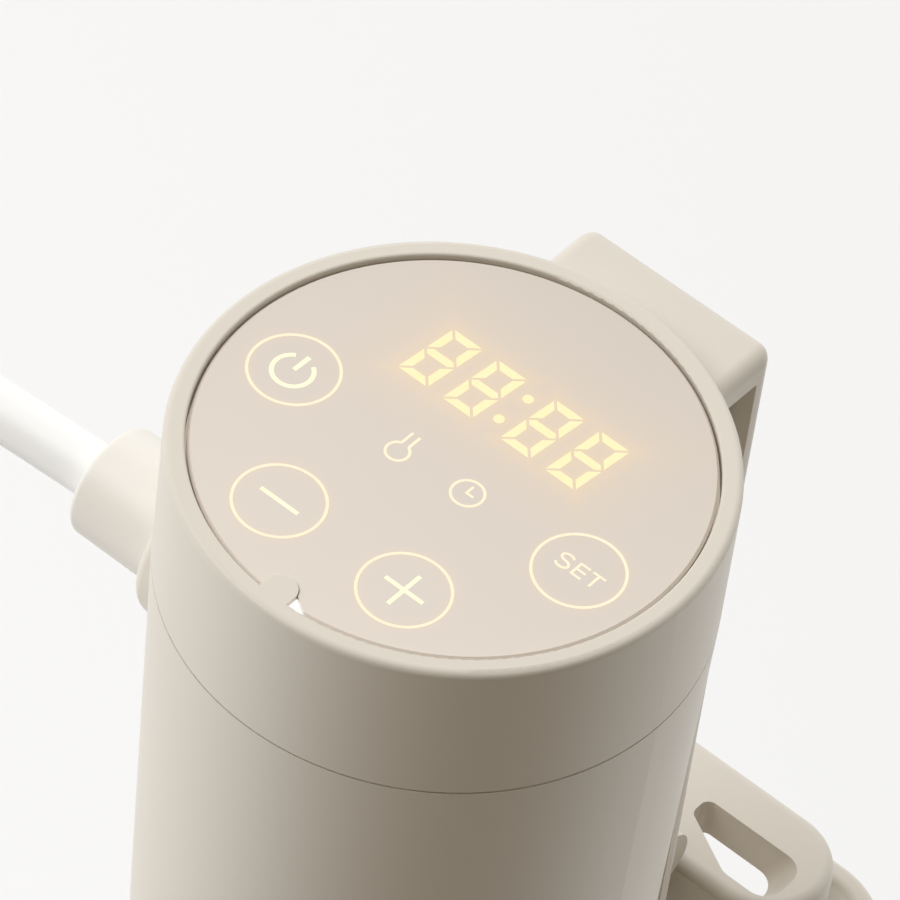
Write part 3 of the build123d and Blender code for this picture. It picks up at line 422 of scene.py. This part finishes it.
def stroke(mesh, points, width, closed=False):
    """Line of even width along points in millimetres, as a closed thin plate."""
    count = len(points)
    rails = []
    for i, (x, y) in enumerate(points):
        before = points[i - 1] if closed or i else points[i]
        after = points[(i + 1) % count] if closed or i < count - 1 else points[i]
        run = hypot(after[0] - before[0], after[1] - before[1])
        nx, ny = (before[1] - after[1]) / run, (after[0] - before[0]) / run
        arm = 1.0
        if closed or 0 < i < count - 1:
            side = hypot(x - before[0], y - before[1])
            arm = 1 / max(0.5, abs(nx * (before[1] - y) + ny * (x - before[0])) / side)
        reach = width / 2 * arm
        rails.append([
            mesh.verts.new(((x + s * nx * reach) * MM, (y + s * ny * reach) * MM, z))
            for z in SIGN_Z
            for s in (1, -1)
        ])
    for i in range(count if closed else count - 1):
        a, b = rails[i], rails[(i + 1) % count]
        for one, two in ((0, 1), (1, 3), (3, 2), (2, 0)):
            mesh.faces.new((a[one], a[two], b[two], b[one]))
    if not closed:
        for rail in (rails[0], rails[-1]):
            mesh.faces.new((rail[0], rail[1], rail[3], rail[2]))


def arc(centre, radii, start, end, steps):
    """Points of an ellipse's arc, angles in degrees."""
    rx, ry = radii
    angles = [radians(start + (end - start) * i / steps) for i in range(steps + 1)]
    return [(centre[0] + rx * cos(a), centre[1] + ry * sin(a)) for a in angles]


def ring(mesh, centre, radius, width):
    stroke(mesh, arc(centre, (radius, radius), 0, 360, 72)[:-1], width, closed=True)


def finished(mesh, name, material, body):
    """Turns the bmesh into a piece that rides on a body."""
    bmesh.ops.recalc_face_normals(mesh, faces=mesh.faces)
    data = bpy.data.meshes.new(name)
    mesh.to_mesh(data)
    mesh.free()
    data.materials.append(material)
    piece = bpy.data.objects.new(name, data)
    bpy.context.collection.objects.link(piece)
    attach(piece, body)
    return piece


def digit_bars():
    """The seven bars of a digit about its middle, with mitred ends."""
    w, h = DIGIT_HALF
    t, k = BAR_W, BAR_GAP * 2**0.5
    top = [(-w + k, h), (w - k, h), (w - t - k, h - t), (-w + t + k, h - t)]
    left = [(-w, h - k), (-w + t, h - t - k), (-w + t, t + k), (-w, k)]
    middle = [(-w + k, 0), (-w + k + t / 2, t / 2), (w - k - t / 2, t / 2)]
    middle += [(-x, -y) for x, y in middle]
    bars = [middle]
    for sy in (1, -1):
        bars.append([(x, sy * y) for x, y in top])
        for sx in (1, -1):
            bars.append([(sx * x, sy * y) for x, y in left])
    return bars


def make_digits():
    mesh = bmesh.new()
    for pair in (-DIGIT_PAIR, DIGIT_PAIR):
        for step in (-DIGIT_STEP, DIGIT_STEP):
            for bar in digit_bars():
                prism(mesh, [(DISPLAY[0] + pair + step + x + SLANT * y, DISPLAY[1] + y) for x, y in bar])
    for y in (COLON_Y, -COLON_Y):
        middle = (DISPLAY[0] + SLANT * y, DISPLAY[1] + y)
        prism(mesh, arc(middle, (COLON_R, COLON_R), 0, 360, 24)[:-1])
    glow = lit("lit_amber", (0.96, 0.845, 0.470), (0.96, 0.865, 0.515), 1.0)
    return finished(mesh, "lit_digits", glow, "housing")


def make_power_sign(mesh, at):
    middle = (at[0], at[1] - 0.2)
    stroke(mesh, arc(middle, (2.3, 2.3), 123, 417, 48), 0.52)
    stroke(mesh, [(at[0], at[1]), (at[0] + 0.05, at[1] + 2.5)], 0.55)


def make_set_sign(mesh, at):
    """The word SET, which names the key's function."""
    x, y = at[0] - 1.95, at[1] + 0.05
    upper = arc((x, y + 0.5), (0.74, 0.48), 25, 270, 16)
    lower = arc((x, y - 0.5), (0.80, 0.52), 90, -158, 16)
    stroke(mesh, upper[:-1] + lower, 0.30)
    x = at[0] - 0.42
    stroke(mesh, [(x, y - 1.0), (x, y + 1.0)], 0.30)
    for level in (-0.87, 0.0, 0.87):
        stroke(mesh, [(x + 0.15, y + level), (x + 1.28, y + level)], 0.27)
    x = at[0] + 2.08
    stroke(mesh, [(x - 0.85, y + 0.87), (x + 0.85, y + 0.87)], 0.27)
    stroke(mesh, [(x, y + 0.73), (x, y - 1.0)], 0.30)


def make_signs():
    """Key circles, function signs, thermometer and clock."""
    mesh = bmesh.new()
    for key in KEYS:
        ring(mesh, key, KEY_R, 0.34)
    stroke(mesh, arc(THERMOMETER, (1.33, 1.33), 112, 428, 40), 0.32)
    for side in (-0.5, 0.5):
        x = THERMOMETER[0] + side
        stroke(mesh, [(x, THERMOMETER[1] + 1.23), (x, THERMOMETER[1] + 3.15)], 0.32)
    ring(mesh, CLOCK, 1.84, 0.32)
    x, y = CLOCK[0] - 0.12, CLOCK[1] - 0.05
    stroke(mesh, [(x, y + 1.15), (x, y), (x + 0.95, y)], 0.30)
    make_set_sign(mesh, KEYS[3])
    glow = lit("lit_line", (1.0, 0.835, 0.600), (1.0, 0.875, 0.640), 1.0)
    finished(mesh, "lit_signs", glow, "housing")
    mesh = bmesh.new()
    make_power_sign(mesh, KEYS[0])
    for key in KEYS[1:3]:
        stroke(mesh, [(key[0] - 2.6, key[1]), (key[0] + 2.6, key[1])], 0.5)
    for side in (-1, 1):
        x, y = KEYS[2]
        stroke(mesh, [(x, y + side * 0.25), (x, y + side * 2.6)], 0.5)
    glow = lit("lit_bold", (1.0, 0.955, 0.640), (1.0, 0.985, 0.700), 1.0)
    finished(mesh, "lit_key_signs", glow, "housing")


make_digits()
make_signs()


# ---- clip spring ----------------------------------------------------------------------
def make_clip_spring():
    """Double torsion spring: a coil on each side of the lever, its ends on lever and plate."""
    low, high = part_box("clip_spring")
    middle_y, middle_z = (low[1] + high[1]) / 2, (low[2] + high[2]) / 2
    wire, coil_r = 0.42 * MM, 2.3 * MM
    inner_x = 4.75 * MM
    turns, steps = 4, 20
    curve = bpy.data.curves.new("torsion_spring", "CURVE")
    curve.dimensions = "3D"
    curve.bevel_depth = 1.0
    curve.bevel_resolution = 4
    curve.use_fill_caps = True
    for side in (1, -1):
        points = [(inner_x, middle_y + 6.5 * MM, middle_z - 7.2 * MM)]
        for i in range(turns * steps + 1):
            angle = -2 * pi * i / steps
            x = inner_x + (high[0] - wire - inner_x) * i / (turns * steps)
            points.append((x, middle_y + coil_r * cos(angle), middle_z + coil_r * sin(angle)))
        points.append((high[0] - wire, low[1] + 0.3 * MM, middle_z - 9.0 * MM))
        spline = curve.splines.new("POLY")
        spline.points.add(len(points) - 1)
        for point, place in zip(spline.points, points):
            point.co = (side * place[0], place[1], place[2], 1)
            point.radius = wire
    spring = bpy.data.objects.new("torsion_spring", curve)
    curve.materials.append(materials["spring_steel"])
    bpy.context.collection.objects.link(spring)
    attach(spring, "housing")
    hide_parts("clip_spring")


make_clip_spring()

# ---- stage ---------------------------------------------------------------------------
def make_stage():
    n = Nodes("pale_floor")
    n.link(
        n.ramp(n.noise(3.0), [(0.3, (0.925, 0.93, 0.94)), (0.7, (0.935, 0.94, 0.95))]),
        n.shader.inputs["Base Color"],
    )
    n.set(Roughness=0.9, Specular_IOR_Level=0.1)
    mesh = bmesh.new()
    bmesh.ops.create_grid(mesh, x_segments=1, y_segments=1, size=4.0)
    data = bpy.data.meshes.new("floor")
    mesh.to_mesh(data)
    mesh.free()
    data.materials.append(n.material)
    floor = bpy.data.objects.new("floor", data)
    bpy.context.collection.objects.link(floor)
    floor.visible_diffuse = False
    floor.visible_glossy = False
    floor.visible_shadow = False


def area_light(name, azimuth, elevation, distance, size, watts, colour=(1, 1, 1)):
    """A square soft light that looks at the head."""
    a, e = radians(azimuth), radians(elevation)
    data = bpy.data.lights.new(name, "AREA")
    data.size, data.energy, data.color = size, watts, colour
    lamp = bpy.data.objects.new(name, data)
    away = Vector((sin(a) * cos(e), -cos(a) * cos(e), sin(e)))
    place = Matrix.Translation(Vector((0, 0, 0.28)) + away * distance)
    lamp.matrix_world = place @ away.to_track_quat("Z", "Y").to_matrix().to_4x4()
    bpy.context.collection.objects.link(lamp)


DARK_AZIMUTH = 44.0  # the unlit side of the studio
DARK_SQUASH = 1.5  # the dark patch is wider than it is tall
DARK_FROM, DARK_FULL = 0.16, 0.69  # cosines of the angle to its middle


def make_world():
    """A pale dome with one dim warm side, which shades the front of the body."""
    world = bpy.data.worlds.new("studio")
    world.use_nodes = True
    tree = world.node_tree

    def vector_math(operation, source, by=None):
        node = tree.nodes.new("ShaderNodeVectorMath")
        node.operation = operation
        tree.links.new(source, node.inputs[0])
        if by is not None:
            node.inputs[1].default_value = by
        return node.outputs["Value" if operation == "DOT_PRODUCT" else "Vector"]

    a = radians(DARK_AZIMUTH)
    look = tree.nodes.new("ShaderNodeTexCoord").outputs["Generated"]
    look = vector_math("NORMALIZE", vector_math("MULTIPLY", look, (1, 1, DARK_SQUASH)))
    fall = tree.nodes.new("ShaderNodeMapRange")
    fall.inputs["From Min"].default_value = DARK_FROM
    fall.inputs["From Max"].default_value = DARK_FULL
    tree.links.new(vector_math("DOT_PRODUCT", look, (sin(a), -cos(a), 0)), fall.inputs["Value"])
    hide = tree.nodes.new("ShaderNodeMath")
    hide.operation = "SUBTRACT"
    hide.use_clamp = True
    tree.links.new(fall.outputs["Result"], hide.inputs[0])
    seen = tree.nodes.new("ShaderNodeLightPath")
    tree.links.new(seen.outputs["Is Camera Ray"], hide.inputs[1])
    ramp = tree.nodes.new("ShaderNodeValToRGB")
    ramp.color_ramp.interpolation = "EASE"
    ramp.color_ramp.elements.new(0.5)
    stops = ((0.0, (1, 1, 1)), (0.5, (0.47, 0.39, 0.27)), (1.0, (0.030, 0.016, 0.006)))
    for element, (at, colour) in zip(ramp.color_ramp.elements, stops):
        element.position = at
        element.color = (*colour, 1)
    tree.links.new(hide.outputs["Value"], ramp.inputs["Fac"])
    tree.links.new(ramp.outputs["Color"], tree.nodes["Background"].inputs["Color"])
    tree.nodes["Background"].inputs["Strength"].default_value = 0.92
    bpy.context.scene.world = world


make_stage()
make_world()
area_light("key", -50, 48, 1.6, 1.0, 9.0)
area_light("low", -42, -28, 1.6, 1.2, 5.0, (0.95, 0.98, 1.0))
area_light("back", 200, 40, 1.8, 1.2, 2.5)
bpy.context.scene.view_settings.view_transform = "Standard"
